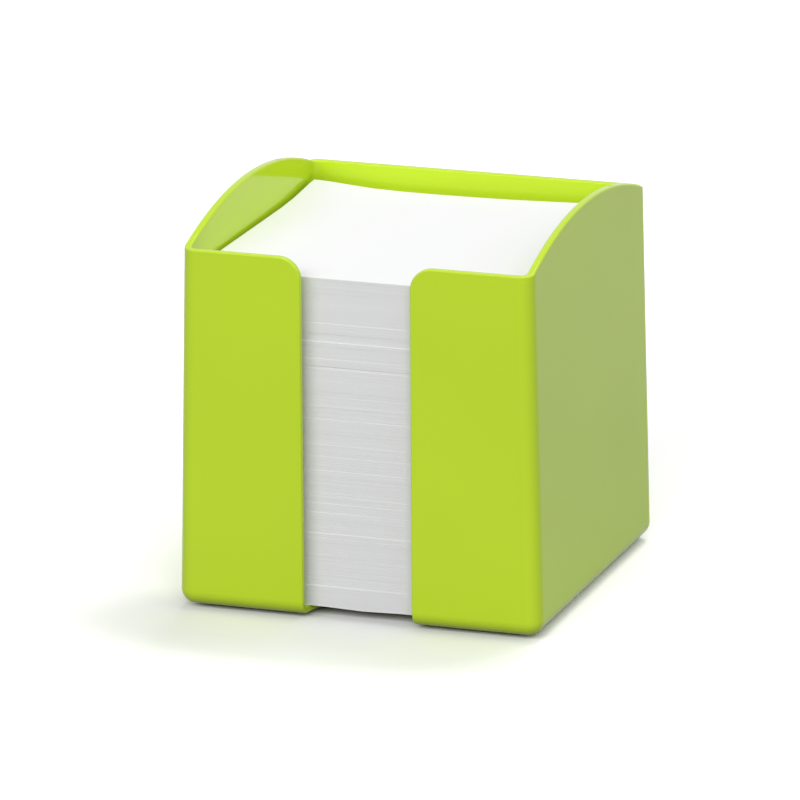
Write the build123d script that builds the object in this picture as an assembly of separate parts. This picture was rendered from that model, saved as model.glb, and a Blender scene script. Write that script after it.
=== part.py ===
from build123d import *
from itertools import accumulate
import math
import os

# A memo holder: one moulded box with arched sides and a front slot, standing on
# four pads and filled with loose square notes. The notes set its width and depth.
# Lengths are in millimetres and angles in degrees. The origin is on the desk under
# the middle of the box, +Z is up and the slot faces -Y.
note_size = 90.0
box_height = 106.4

# Loose sheets fill the box in bundles, whose breaks show in the stack's front edge.
# Shares of all the sheets under the top one, from the lowest bundle up.
sheet_thickness = 0.11
bundle_shares = (0.063, 0.131, 0.094, 0.447, 0.073, 0.161, 0.031)

# Each bundle lies a little off centre and a little turned, as dropped in by hand:
# shares of the play to the right, to the back, and of the play that a corner swings.
bundle_shift_x_shares = (0.20, 0.05, 0.25, 0.12, 0.30, 0.08, 0.20)
bundle_shift_y_shares = (-0.18, -0.10, -0.22, -0.14, -0.24, -0.12, -0.18)
bundle_swing_shares = (-0.25, -0.40, -0.30, -0.45, -0.28, -0.48, -0.50)

# Play between the notes and the box: at the sides where they lean in most, and
# in front and behind.
side_clearance = 0.61
front_clearance = 3.0

# Moulded box: walls, floor, roundings, and the height of the rim above the notes.
wall = 2.0
floor_thickness = 2.0
edge_radius = 4.0
least_inner_radius = 0.3
rim_radius = 0.5
headroom = 6.0
side_lean = 1.3

# The sides rise from the rim to a crest in one arc, which starts just behind the front
# wall, ends just before the back wall and is eased into the rim there.
arch_rise = 8.2
arch_setback = 0.2
arch_easing_radius = 2.0

# Front slot between two flaps. It ends in a half-round thumb notch in the floor.
slot_width = 30.0
thumb_radius = 15.0
flap_corner_radius = 6.0

# Anti-slip pads, each pressed into a shallow round recess under the floor.
pad_diameter = 10.0
pad_thickness = 1.6
pad_recess_depth = 0.4
pad_clearance = 0.2
pad_chamfer = 0.4
pad_inset = 15.0

# How far every cutting shape runs past what it cuts, and what counts as touching.
overrun = 5.0
touching = 0.01

# Heights above the desk, and the whole sheets that fill the box up to its headroom.
underside = pad_thickness - pad_recess_depth
floor_top = underside + floor_thickness
rim_height = box_height - arch_rise
sheet_count = round((rim_height - headroom - floor_top) / sheet_thickness)

# Widths: the box is as wide as the notes need at the crest, and grows downwards.
lean_slope = math.tan(math.radians(side_lean))
crest_half_width = note_size / 2 + side_clearance + wall
base_half_width = crest_half_width + lean_slope * (box_height - underside)
half_depth = note_size / 2 + front_clearance + wall
inner_radius = max(edge_radius - wall, least_inner_radius)


def half_width(height):
    """Half the outer width of the box at a height above the desk."""
    return crest_half_width + lean_slope * (box_height - height)


def leaning_block(inset, low, high, radius):
    """Block with leaning sides, set in from the outside, its uprights and bottom rounded."""
    low_x = half_width(low) - inset
    high_x = half_width(high) - inset
    front = Polyline((-low_x, low), (low_x, low), (high_x, high), (-high_x, high), close=True)
    block = extrude(make_face(Plane.XZ * front), half_depth - inset, both=True)
    uprights = block.edges().filter_by(lambda edge: edge.bounding_box().size.Z > (high - low) / 2)
    block = fillet(uprights, radius)
    return fillet(block.faces().sort_by(Axis.Z)[0].edges(), radius)


def arch_trim():
    """All that lies above the rim and the arches, seen from the side and run across the box.

    The arch and the easing at its feet touch each other and the flat rim: their two radii
    together are (foot^2 + rise^2) / (2 rise), and they meet on the line between the centres.
    """
    foot = half_depth - wall - arch_setback
    end = half_depth + overrun
    top = box_height + overrun
    both_radii = (foot**2 + arch_rise**2) / (2 * arch_rise)
    meet_share = arch_easing_radius / both_radii
    meet_y = foot * (1 - meet_share)
    meet_z = rim_height + arch_rise * meet_share
    arch = ThreePointArc((-meet_y, meet_z), (0, box_height), (meet_y, meet_z))
    rear_ease = TangentArc(arch @ 1, (foot, rim_height), tangent=arch % 1)
    front_ease = mirror(rear_ease, Plane.YZ)
    rear = Polyline((foot, rim_height), (end, rim_height), (end, top))
    front = mirror(rear, Plane.YZ)
    side = make_face([arch, rear_ease, rear, Line((end, top), (-end, top)), front, front_ease])
    return extrude(Plane.YZ * side, half_width(0) + overrun, both=True)


def slot_cut():
    """The slot through the front wall, with the flaps' rounded corners and the thumb notch."""
    half_slot = slot_width / 2
    flare = half_slot + flap_corner_radius
    bend = rim_height - flap_corner_radius
    top = rim_height + overrun
    right = Line((half_slot, -overrun), (half_slot, bend))
    right_corner = RadiusArc(right @ 1, (flare, rim_height), flap_corner_radius)
    left = Line((-half_slot, bend), (-half_slot, -overrun))
    left_corner = RadiusArc((-flare, rim_height), left @ 0, flap_corner_radius)
    over_top = Polyline(right_corner @ 1, (flare, top), (-flare, top), left_corner @ 0)
    under = Line(left @ 1, right @ 0)
    outline = make_face([right, right_corner, over_top, left_corner, left, under])
    in_front = Plane.XZ.offset(half_depth + overrun) * outline
    through_wall = extrude(in_front, overrun + wall, dir=(0, 1, 0))
    inner_corner = Pos(0, wall - half_depth, floor_top)
    along = (Align.CENTER, Align.MIN, Align.MIN)
    floor_rounding = Box(slot_width + 2 * inner_radius, inner_radius, inner_radius, align=along)
    notch = Pos(0, wall - half_depth, 0) * Cylinder(thumb_radius, 2 * floor_top + overrun)
    return through_wall + inner_corner * floor_rounding + notch


def pad_places():
    """Centre of each pad, by name."""
    x = base_half_width - pad_inset
    y = half_depth - pad_inset
    return {
        "pad_front_left": (-x, -y),
        "pad_front_right": (x, -y),
        "pad_rear_left": (-x, y),
        "pad_rear_right": (x, y),
    }


def round_rim(body, uncut, trim, slot, block):
    """Round the edges that the trim and the slot cut into the surface of one block."""
    surface = block.shell()
    cut_edges = new_edges(uncut, trim, slot, combined=body)
    rim = cut_edges.filter_by(lambda edge: edge.bounding_box().max.Z > rim_height / 2)
    return fillet(rim.filter_by(lambda edge: surface.distance_to(edge @ 0.5) < touching), rim_radius)


def holder_body():
    """The moulded box: leaning walls, floor, arched sides, slot, thumb notch and pad recesses."""
    outside = leaning_block(0, underside, box_height, edge_radius)
    inside = leaning_block(wall, floor_top, box_height + overrun, inner_radius)
    shell = outside - inside
    trim = arch_trim()
    slot = slot_cut()
    body = shell - trim - slot
    for block in (outside, inside):
        body = round_rim(body, shell, trim, slot, block)
    for x, y in pad_places().values():
        recess = Cylinder(pad_diameter / 2 + pad_clearance, 2 * pad_recess_depth)
        body -= Pos(x, y, underside) * recess
    return body


def pad(x, y):
    """Round anti-slip pad with its lower edge chamfered."""
    disc = Pos(x, y, pad_thickness / 2) * Cylinder(pad_diameter / 2, pad_thickness)
    return chamfer(disc.faces().sort_by(Axis.Z)[0].edges(), pad_chamfer)


def note_pile(low, sheets, shift_x_share, shift_y_share, swing_share):
    """Square block of loose sheets, shifted and turned by shares of the play at the sides."""
    height = sheets * sheet_thickness
    turn = math.degrees(math.atan2(swing_share * side_clearance, note_size / 2))
    place = Pos(shift_x_share * side_clearance, shift_y_share * front_clearance, low) * Rot(0, 0, turn)
    return place * Box(note_size, note_size, height, align=(Align.CENTER, Align.CENTER, Align.MIN))


def sheets_by_bundle():
    """Sheets in each bundle from the lowest up, in whole sheets of all but the top one."""
    breaks = [round(share_below * (sheet_count - 1)) for share_below in accumulate(bundle_shares)]
    return [high - low for low, high in zip([0] + breaks, breaks)]


parts = {"holder_body": holder_body()}
for name, (x, y) in pad_places().items():
    parts[name] = pad(x, y)

level = floor_top
lies = zip(sheets_by_bundle(), bundle_shift_x_shares, bundle_shift_y_shares, bundle_swing_shares)
for number, (sheets, *shares) in enumerate(lies, start=1):
    parts[f"note_bundle_{number}"] = note_pile(level, sheets, *shares)
    level += sheets * sheet_thickness
parts["top_note"] = note_pile(level, 1, *shares)

os.makedirs("parts", exist_ok=True)
for name, part in parts.items():
    part.label = name
    export_step(part, f"parts/{name}.step")

print(f"box {2 * base_half_width:.2f} x {2 * half_depth:.2f} x {box_height:.2f}, rim at {rim_height:.2f}")
print(f"{sheet_count} notes from {floor_top:.2f} to {level + sheet_thickness:.2f}")
print("sheets by bundle", sheets_by_bundle())
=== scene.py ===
# %% [markdown]
# # A memo holder full of loose notes
# The real thing is a lime-green box, moulded in one shot from glossy polystyrene. Its sides
# rise to an arch, its front is two flaps with a slot between them, and about eight hundred
# loose square notes stand in it. This lesson dresses the CAD model in Blender: the box and
# its pads keep their CAD shape and get their finish here, and the notes, which CAD holds as
# plain blocks, become stacks of sheets.

# %% Load the CAD frame
import math

import bpy
import numpy as np
from mathutils import Matrix, Vector


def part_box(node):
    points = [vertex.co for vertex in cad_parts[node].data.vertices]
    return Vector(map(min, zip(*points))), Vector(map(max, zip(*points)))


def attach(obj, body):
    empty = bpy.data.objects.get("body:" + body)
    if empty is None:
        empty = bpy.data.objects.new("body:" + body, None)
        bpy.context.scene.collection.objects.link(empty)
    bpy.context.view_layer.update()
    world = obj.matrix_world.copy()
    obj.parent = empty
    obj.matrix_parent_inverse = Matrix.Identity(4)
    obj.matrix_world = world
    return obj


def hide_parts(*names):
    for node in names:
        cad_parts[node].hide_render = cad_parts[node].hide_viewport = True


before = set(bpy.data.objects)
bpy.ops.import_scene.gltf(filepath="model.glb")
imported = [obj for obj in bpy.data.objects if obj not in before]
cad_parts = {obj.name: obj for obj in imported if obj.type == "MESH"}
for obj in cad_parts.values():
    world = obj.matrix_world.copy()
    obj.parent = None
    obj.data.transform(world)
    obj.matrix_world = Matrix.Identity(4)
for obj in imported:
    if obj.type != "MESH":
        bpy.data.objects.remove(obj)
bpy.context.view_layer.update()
mm = 0.001

# %% [markdown]
# ## The camera
# The picture is a product shot through a long lens, from a little above and to the right.
# A camera can be placed by eye, but then every edge is a little off. These numbers come
# from fitting a pinhole camera to the edges of the box, so they go in as they are: two angles
# round the box, a small roll, the distance, and the focal length in pixels of the frame.

# %% Camera
frame_pixels = 800
focal_pixels = 8102.9
azimuth, elevation, roll = (math.radians(angle) for angle in (19.025, 16.090, 0.385))
distance, slide_right, slide_down = 2145.1 * mm, 4.694 * mm, -2.077 * mm
aim = Vector((0, 0, 50 * mm))

back = Vector((
    math.sin(azimuth) * math.cos(elevation),
    -math.cos(azimuth) * math.cos(elevation),
    math.sin(elevation),
))
level_right = Vector((math.cos(azimuth), math.sin(azimuth), 0))
level_down = level_right.cross(back)
right = level_right * math.cos(roll) + level_down * math.sin(roll)
down = level_down * math.cos(roll) - level_right * math.sin(roll)

camera_data = bpy.data.cameras.new("product_camera")
camera_data.sensor_width = 36
camera_data.lens = focal_pixels / frame_pixels * camera_data.sensor_width
camera = bpy.data.objects.new("product_camera", camera_data)
turn = Matrix((right, -down, back)).transposed().to_4x4()
lens_point = aim + back * distance - right * slide_right - down * slide_down
camera.matrix_world = Matrix.Translation(lens_point) @ turn
bpy.context.scene.collection.objects.link(camera)
bpy.context.scene.camera = camera
print("lens", round(camera_data.lens, 1), "mm at", [round(v, 3) for v in camera.location])

# %% [markdown]
# ## Helpers for every finish
# Colours are written as the hex values that a picture editor shows. Those are sRGB, and
# shaders add up light in linear values, so one function turns them. Each material is a small
# tree of nodes: one function starts it empty, and one adds a node with its settings and links.

# %% Colour and node helpers
def linear(hex_colour):
    """Linear RGBA of an sRGB hex colour: c / 12.92 near black, else ((c + 0.055) / 1.055) ^ 2.4."""
    srgb = np.array([int(hex_colour[i:i + 2], 16) / 255 for i in (1, 3, 5)])
    rgb = np.where(srgb <= 0.04045, srgb / 12.92, ((srgb + 0.055) / 1.055) ** 2.4)
    return (*rgb.tolist(), 1.0)


def add(tree, kind, inputs=None, **settings):
    """Adds a node. Settings are its own properties, inputs are values or sockets to link from."""
    node = tree.nodes.new("ShaderNode" + kind)
    for name, value in settings.items():
        setattr(node, name, value)
    for name, value in (inputs or {}).items():
        if isinstance(value, bpy.types.NodeSocket):
            tree.links.new(value, node.inputs[name])
        else:
            node.inputs[name].default_value = value
    return node


def empty_material(name):
    """A new material with no nodes in it yet, and its node tree."""
    material = bpy.data.materials.new(name)
    material.use_nodes = True
    material.node_tree.nodes.clear()
    return material, material.node_tree


print("lime #bfdd2c is", [round(v, 3) for v in linear("#bfdd2c")])

# %% [markdown]
# ## Moulded polystyrene
# The box is coloured through and comes out of a polished mould, so its skin is as smooth as
# the steel was: a clear mirror sheen over a strong colour. Three small things keep it from
# looking like a computer's plastic. The pigment flows a little unevenly from the gate, the
# cooling skin sinks into shallow waves a centimetre or two long, and handling leaves a haze
# of scuffs, which are far finer than the millimetre they are drawn at. All three are noise in
# Object coordinates, so they stay put on the box.

# %% Moulded polystyrene
flow_length, sink_length, scuff_length = 45 * mm, 16 * mm, 1.2 * mm
sink_depth = 0.05 * mm

polystyrene, tree = empty_material("moulded_polystyrene_lime")
place = add(tree, "TexCoord").outputs["Object"]
flow = add(tree, "TexNoise", {
    "Vector": place,
    "Scale": 1 / flow_length,
    "Detail": 2.0,
    "Roughness": 0.4,
})
pigment = add(tree, "MapRange", {"Value": flow.outputs["Fac"], "To Min": 0.96, "To Max": 1.04})
lime = add(tree, "HueSaturation", {"Color": linear("#bfdd2c"), "Value": pigment.outputs["Result"]})
sink = add(tree, "TexNoise", {"Vector": place, "Scale": 1 / sink_length, "Detail": 1.0})
waves = add(tree, "Bump", {"Height": sink.outputs["Fac"], "Distance": sink_depth, "Strength": 0.5})
scuffs = add(tree, "TexNoise", {
    "Vector": place,
    "Scale": 1 / scuff_length,
    "Detail": 4.0,
    "Roughness": 0.7,
})
haze = add(tree, "MapRange", {"Value": scuffs.outputs["Fac"], "To Min": 0.05, "To Max": 0.13})
skin = add(tree, "BsdfPrincipled", {
    "Base Color": lime.outputs["Color"],
    "Roughness": haze.outputs["Result"],
    "IOR": 1.28,
    "Normal": waves.outputs["Normal"],
})
add(tree, "OutputMaterial", {"Surface": skin.outputs["BSDF"]})

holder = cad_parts["holder_body"]
holder.data.materials.clear()
holder.data.materials.append(polystyrene)
print("polystyrene on", holder.name, "with", len(holder.data.polygons), "triangles")

# %% [markdown]
# ## Soft rubber pads
# The box stands on four pads of cut foam rubber. They grip because they are dull and soft,
# and their skin is a fine open grain, too fine to see from here and drawn at half a millimetre.

# %% Soft rubber
pore_size, pore_depth = 0.5 * mm, 0.05 * mm

rubber, tree = empty_material("cut_foam_rubber")
place = add(tree, "TexCoord").outputs["Object"]
pores = add(tree, "TexNoise", {"Vector": place, "Scale": 1 / pore_size, "Detail": 3.0})
tone = add(tree, "MapRange", {"Value": pores.outputs["Fac"], "To Min": 0.7, "To Max": 1.3})
grey = add(tree, "HueSaturation", {"Color": linear("#3a3b3c"), "Value": tone.outputs["Result"]})
grain = add(tree, "Bump", {"Height": pores.outputs["Fac"], "Distance": pore_depth, "Strength": 0.6})
skin = add(tree, "BsdfPrincipled", {
    "Base Color": grey.outputs["Color"],
    "Roughness": 0.85,
    "Normal": grain.outputs["Normal"],
})
add(tree, "OutputMaterial", {"Surface": skin.outputs["BSDF"]})

pads = [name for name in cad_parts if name.startswith("pad_")]
for name in pads:
    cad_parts[name].data.materials.clear()
    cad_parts[name].data.materials.append(rubber)
print("rubber on", len(pads), "pads")

# %% [markdown]
# ## White bond paper
# Loose notes are plain uncoated paper: matt, a touch bluish from its brightener. On a stack's
# face one sheet's edge is a tenth of a millimetre, less than half a pixel, so what the eye
# sees there is runs of sheets that were cut or pushed together. The sides of the stack are
# painted darker than its top, as painted shade of the gaps between the sheets' edges, and
# faint streaks of painted shade mark the ledges between runs. The streaks are noise,
# drawn out along the sheets and fine across them, half a millimetre, coarse enough to show.
# The tooth of the paper is its tangle of fibres, drawn about as coarse.

# %% White bond paper
streak_length, streak_width = 30 * mm, 0.5 * mm
fibre_size, fibre_depth = 0.6 * mm, 0.01 * mm

paper, tree = empty_material("white_bond_paper")
place = add(tree, "TexCoord").outputs["Object"]
along = add(tree, "Mapping", {
    "Vector": place,
    "Scale": (1 / streak_length, 1 / streak_length, 1 / streak_width),
})
painted_ledge_streaks = add(tree, "TexNoise", {"Vector": along.outputs["Vector"], "Scale": 1.0, "Detail": 3.0})
facing = add(tree, "SeparateXYZ", {"Vector": add(tree, "NewGeometry").outputs["Normal"]})
flat = add(tree, "Math", {0: facing.outputs["Z"]}, operation="ABSOLUTE")
# The sides of the stack get 0.78 to 0.83 of the top's white: painted shade of the gaps between
# sheet edges, streaked by painted shade of the ledges between runs of sheets.
painted_gap_shade = add(tree, "MapRange", {
    "Value": painted_ledge_streaks.outputs["Fac"],
    "To Min": 0.78,
    "To Max": 0.83,
}).outputs["Result"]
tone = add(tree, "MapRange", {"Value": flat.outputs["Value"], "To Min": painted_gap_shade})
white = add(tree, "HueSaturation", {"Color": linear("#f6f6f8"), "Value": tone.outputs["Result"]})
fibres = add(tree, "TexNoise", {"Vector": place, "Scale": 1 / fibre_size, "Detail": 3.0})
tooth = add(tree, "Bump", {
    "Height": fibres.outputs["Fac"],
    "Distance": fibre_depth,
    "Strength": 0.5,
})
skin = add(tree, "BsdfPrincipled", {
    "Base Color": white.outputs["Color"],
    "Roughness": 0.9,
    "Specular IOR Level": 0.2,
    "Normal": tooth.outputs["Normal"],
})
add(tree, "OutputMaterial", {"Surface": skin.outputs["BSDF"]})
print("paper has", len(tree.nodes), "nodes")

# %% [markdown]
# ## Where each bundle lies
# CAD holds the notes as seven blocks and one top sheet, each shifted and turned a little in
# the box. Copying those numbers here would let them drift apart, so they are read back from
# the blocks: the middle from the box, and the turn from the corner that points right and back.

# %% Read the bundles
note = 90 * mm  # side of a note
sheet = 0.11 * mm  # thickness of one sheet


def lie_of(node):
    """Middle, turn, lowest and highest level of a bundle, from the corners of its CAD block."""
    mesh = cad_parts[node].data
    corners = np.empty(len(mesh.vertices) * 3)
    mesh.vertices.foreach_get("co", corners)
    corners = corners.reshape(-1, 3)
    low, high = corners.min(axis=0), corners.max(axis=0)
    middle = (low + high) / 2
    right_back = corners[np.argmax(corners[:, 0] + corners[:, 1])] - middle
    return middle, math.atan2(right_back[1], right_back[0]) - math.pi / 4, low[2], high[2]


bundles = [f"note_bundle_{number}" for number in range(1, 8)]
for name in bundles + ["top_note"]:
    middle, bundle_turn, low, high = lie_of(name)
    print(name, round((high - low) / sheet), "sheets, turned", round(math.degrees(bundle_turn), 2))

# %% [markdown]
# ## How the stack gives
# Loose paper is never flat. The upper sheets are dished, with the corners at the back curling
# up, and the lowest ones sag into the thumb notch, where no floor carries them. Each is a smooth
# bump over the note, and it fades with depth, so neighbouring bundles still fit each other.

# %% Curl and sag
stack_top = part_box("top_note")[1].z
stack_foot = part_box("note_bundle_1")[0].z
left_lift, left_reach = 1.4 * mm, 13 * mm
right_lift, right_reach = 1.2 * mm, 28 * mm
curl_depth = 14 * mm
notch_middle, notch_reach = -47.5 * mm, 13 * mm
notch_sag, sag_height = 0.4 * mm, 8 * mm


def given(u, v, z):
    """Height of a point of the stack after curl and sag.

    u and v run across the note. A corner lifts by lift * exp(-(d / reach)^2) at distance d, times
    a share that falls to nothing curl_depth below the top. The notch lowers the sheets above it
    by sag * (1 - (d / reach)^2)^2, times a share that falls to nothing sag_height above the foot.
    """
    near_top = np.clip(1 - (stack_top - z) / curl_depth, 0, 1) ** 2
    near_foot = np.clip(1 - (z - stack_foot) / sag_height, 0, 1) ** 2
    to_back = (v - note / 2) ** 2
    left_curl = left_lift * np.exp(-((u + note / 2) ** 2 + to_back) / left_reach**2)
    right_curl = right_lift * np.exp(-((u - note / 2) ** 2 + to_back) / right_reach**2)
    to_notch = np.clip(1 - (u**2 + (v - notch_middle) ** 2) / notch_reach**2, 0, 1) ** 2
    return z + (left_curl + right_curl) * near_top - notch_sag * to_notch * near_foot


corner_height = float(given(-note / 2, note / 2, stack_top))
print("back left corner lifts to", round(corner_height / mm, 2), "mm")

# %% [markdown]
# ## A stack as one surface
# Eight hundred thin boxes would be heavy, and their touching faces would never show. So a
# bundle is one closed skin, a function of two parameters: along the rim of a note, and up the
# sheets, with two rings for each sheet. Every sheet is nudged and turned a little, in runs, so
# that ledges form between them. A stack is tapped even from the front, so in depth the bundles
# keep only a part of their blocks' steps. A grid closes the top and another the bottom.

# %% Build a bundle
depths = [lie_of(name)[0][1] for name in bundles]
even_depth, step_kept = sum(depths) / len(depths), 0.35
steps = 14
across = -np.cos(np.linspace(0, math.pi, steps + 1)) * note / 2
edge = np.full(steps, note / 2)
rim_u = np.concatenate([across[:-1], edge, across[:0:-1], -edge])
rim_v = np.roll(rim_u, steps)

# Offsets of the sheets: what a run of them shares, and what each has on top of that.
run = 14
scatter_x, jitter_x, most_x = 0.04 * mm, 0.015 * mm, 0.12 * mm
scatter_y, jitter_y = 0.045 * mm, 0.012 * mm
scatter_turn, jitter_turn = 0.0008, 0.0002
ledge_angle = math.radians(30)


def nudges(sheets, scatter, jitter, random):
    """One offset for each sheet: a scatter shared by runs of about `run` sheets, plus a jitter."""
    starts = random.random(sheets) < 1 / run
    shared = random.normal(0, scatter, sheets + 1)[np.cumsum(starts)]
    return shared + random.normal(0, jitter, sheets)


def bundle_surface(node, random):
    """Points and faces of a bundle's closed skin.

    Both rings of sheet s are the note's rim, turned by t(s) and shifted by (x(s), y(s)), one at
    level s and one at level s + 1.
    """
    middle, bundle_turn, low, high = lie_of(node)
    sheets = round((high - low) / sheet)
    shift_x = middle[0] + np.clip(nudges(sheets, scatter_x, jitter_x, random), -most_x, most_x)
    depth = even_depth + step_kept * (middle[1] - even_depth)
    shift_y = depth + nudges(sheets, scatter_y, jitter_y, random)
    turns = bundle_turn + nudges(sheets, scatter_turn, jitter_turn, random)
    levels = np.linspace(low, high, sheets + 1)
    ring_z = np.stack([levels[:-1], levels[1:]], axis=1).reshape(-1)
    ring_x, ring_y, ring_turn = (np.repeat(values, 2) for values in (shift_x, shift_y, turns))

    def placed(u, v, ring):
        """Points of the note's own u and v, set down as one ring's sheet lies."""
        x = ring_x[ring] + u * np.cos(ring_turn[ring]) - v * np.sin(ring_turn[ring])
        y = ring_y[ring] + u * np.sin(ring_turn[ring]) + v * np.cos(ring_turn[ring])
        return np.stack([x, y, given(u, v, ring_z[ring])], axis=-1)

    rings, around = 2 * sheets, 4 * steps
    side = placed(rim_u[None, :], rim_v[None, :], np.arange(rings)[:, None]).reshape(-1, 3)
    inner_u, inner_v = (grid.reshape(-1) for grid in np.meshgrid(across[1:-1], across[1:-1]))
    bottom, top = placed(inner_u, inner_v, 0), placed(inner_u, inner_v, rings - 1)

    index = np.arange(rings * around).reshape(rings, around)
    here, there = index, np.roll(index, -1, axis=1)
    faces = [np.stack([here[:-1], there[:-1], there[1:], here[1:]], axis=-1).reshape(-1, 4)]
    bottom_cap = (0, len(side), (0, 1, 2, 3))
    top_cap = (rings - 1, len(side) + len(bottom), (3, 2, 1, 0))
    for ring, first, order in (bottom_cap, top_cap):
        cap = np.empty((steps + 1, steps + 1), int)
        cap[0, :-1], cap[:-1, -1] = index[ring, :steps], index[ring, steps:2 * steps]
        cap[-1, :0:-1], cap[:0:-1, 0] = index[ring, 2 * steps:3 * steps], index[ring, 3 * steps:]
        cap[1:-1, 1:-1] = first + np.arange((steps - 1) ** 2).reshape(steps - 1, steps - 1)
        quads = np.stack([cap[:-1, :-1], cap[1:, :-1], cap[1:, 1:], cap[:-1, 1:]], axis=-1)
        faces.append(quads.reshape(-1, 4)[:, order])
    return np.concatenate([side, bottom, top]), np.concatenate(faces)


def dress(node, points, faces):
    """Makes the mesh that stands for a CAD node of paper, and lets it ride on that node's body."""
    mesh = bpy.data.meshes.new(node + "_sheets")
    mesh.from_pydata(points.tolist(), [], faces.tolist())
    mesh.shade_smooth()
    mesh.set_sharp_from_angle(angle=ledge_angle)
    mesh.materials.append(paper)
    piece = bpy.data.objects.new(node + "_sheets", mesh)
    bpy.context.scene.collection.objects.link(piece)
    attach(piece, node)
    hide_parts(node)
    return piece


random = np.random.default_rng(90)
for name in bundles:
    piece = dress(name, *bundle_surface(name, random))
    print(piece.name, len(piece.data.polygons), "faces")

# %% [markdown]
# ## The top note
# The uppermost sheet is one loose piece of paper. A flat card would do from far away, but its
# corners curl. So it is a bundle of one sheet: a grid for the upper face and another a sheet's
# thickness below, joined round the rim, both bent by the same curl as the sheets under it.

# %% Build the top note
top_piece = dress("top_note", *bundle_surface("top_note", random))
print(top_piece.name, len(top_piece.data.polygons), "faces")

# %% [markdown]
# ## A white room
# The photograph is a cut-out on white. A floor that is white for all light would throw too much
# of it up the sides of the box, which are in half shade. So the floor is a dull grey for light
# on its way, and white where it is seen, straight, in the gloss or through something clear. It
# has no glow of its own, so it keeps the box's shadow, dark where the box almost touches it.
# Straight at the camera it is a little over white, and the faintest shadows vanish in that. It
# is least so in an oval patch before the front, where the one shadow lies that should be seen.

# %% Floor and world
bounce_grey, seen_white = 0.20, 0.95
over_white_near, over_white_far = 1.04, 1.36
patch_middle, patch_reach = (-10 * mm, -62 * mm, 0), (75 * mm, 30 * mm, 1)
patch_core, patch_end = 0.6, 1.3
sky = 0.28


def seen(tree):
    """Socket that is 1 where a ray shows its end to the eye, and 0 for light on its way."""
    rays = add(tree, "LightPath").outputs
    shown = rays["Is Camera Ray"]
    for kind in ("Is Glossy Ray", "Is Transmission Ray"):
        shown = add(tree, "Math", {0: shown, 1: rays[kind]}, operation="MAXIMUM").outputs["Value"]
    return shown


white_floor, tree = empty_material("white_table")
grey = add(tree, "MapRange", {
    "Value": seen(tree),
    "To Min": bounce_grey,
    "To Max": seen_white,
}).outputs["Result"]
patch = add(tree, "Mapping", {
    "Vector": add(tree, "TexCoord").outputs["Object"],
    "Location": patch_middle,
    "Scale": patch_reach,
}, vector_type="TEXTURE")
apart = add(tree, "VectorMath", {0: patch.outputs["Vector"]}, operation="LENGTH")
over_white = add(tree, "MapRange", {
    "Value": apart.outputs["Value"],
    "From Min": patch_core,
    "From Max": patch_end,
    "To Min": over_white_near,
    "To Max": over_white_far,
}, interpolation_type="SMOOTHSTEP").outputs["Result"]
straight = add(tree, "LightPath").outputs["Is Camera Ray"]
lift = add(tree, "MapRange", {"Value": straight, "To Min": 1.0, "To Max": over_white})
shade = add(tree, "Math", {0: grey, 1: lift.outputs["Result"]}, operation="MULTIPLY")
lit = add(tree, "BsdfDiffuse", {"Color": shade.outputs["Value"]})
add(tree, "OutputMaterial", {"Surface": lit.outputs["BSDF"]})

reach = 6.0
floor_mesh = bpy.data.meshes.new("table_top")
corners = [(-reach, -reach, 0), (reach, -reach, 0), (reach, reach, 0), (-reach, reach, 0)]
floor_mesh.from_pydata(corners, [], [(0, 1, 2, 3)])
floor_mesh.materials.append(white_floor)
floor = bpy.data.objects.new("table_top", floor_mesh)
bpy.context.scene.collection.objects.link(floor)

world = bpy.data.worlds.new("white_room")
world.use_nodes = True
tree = world.node_tree
tree.nodes.clear()
room_level = add(tree, "MapRange", {"Value": seen(tree), "To Min": sky, "To Max": 1.0})
room = add(tree, "Background", {"Color": (1, 1, 1, 1), "Strength": room_level.outputs["Result"]})
add(tree, "OutputWorld", {"Surface": room.outputs["Background"]})
bpy.context.scene.world = world
print("floor reaches", reach, "m, sky at", sky)

# %% [markdown]
# ## Three softboxes
# The shadow lies close round the foot and a little to the front, so one softbox hangs overhead
# and behind. The flaps are the brightest faces, lit by a long strip in front that is as wide as a
# wall, and the right side, in half shade, gets a large weak one. Wide lamps keep the shadows of
# the sides so soft that they vanish in the white.

# %% Lamps
def softbox(name, place, size, power):
    """An area lamp of a width and a height in metres and a power in watts, turned to the box."""
    lamp = bpy.data.lights.new(name, "AREA")
    lamp.shape, lamp.size, lamp.size_y, lamp.energy = "RECTANGLE", *size, power
    piece = bpy.data.objects.new(name, lamp)
    piece.location = place
    piece.rotation_euler = (aim - piece.location).to_track_quat("-Z", "Y").to_euler()
    piece.visible_camera = False
    bpy.context.scene.collection.objects.link(piece)


softbox("overhead_softbox", Vector((0.5, 1.9, 4.6)), (2, 2), 70)
softbox("front_softbox", Vector((0, -4.2, 2.6)), (7, 2), 228)
softbox("right_softbox", Vector((3.8, 0, 3.2)), (5, 5), 66)

# %% [markdown]
# ## Finish
# The picture keeps the colours as they are written, with the Standard view.

# %% Finish
bpy.context.scene.view_settings.view_transform = "Standard"
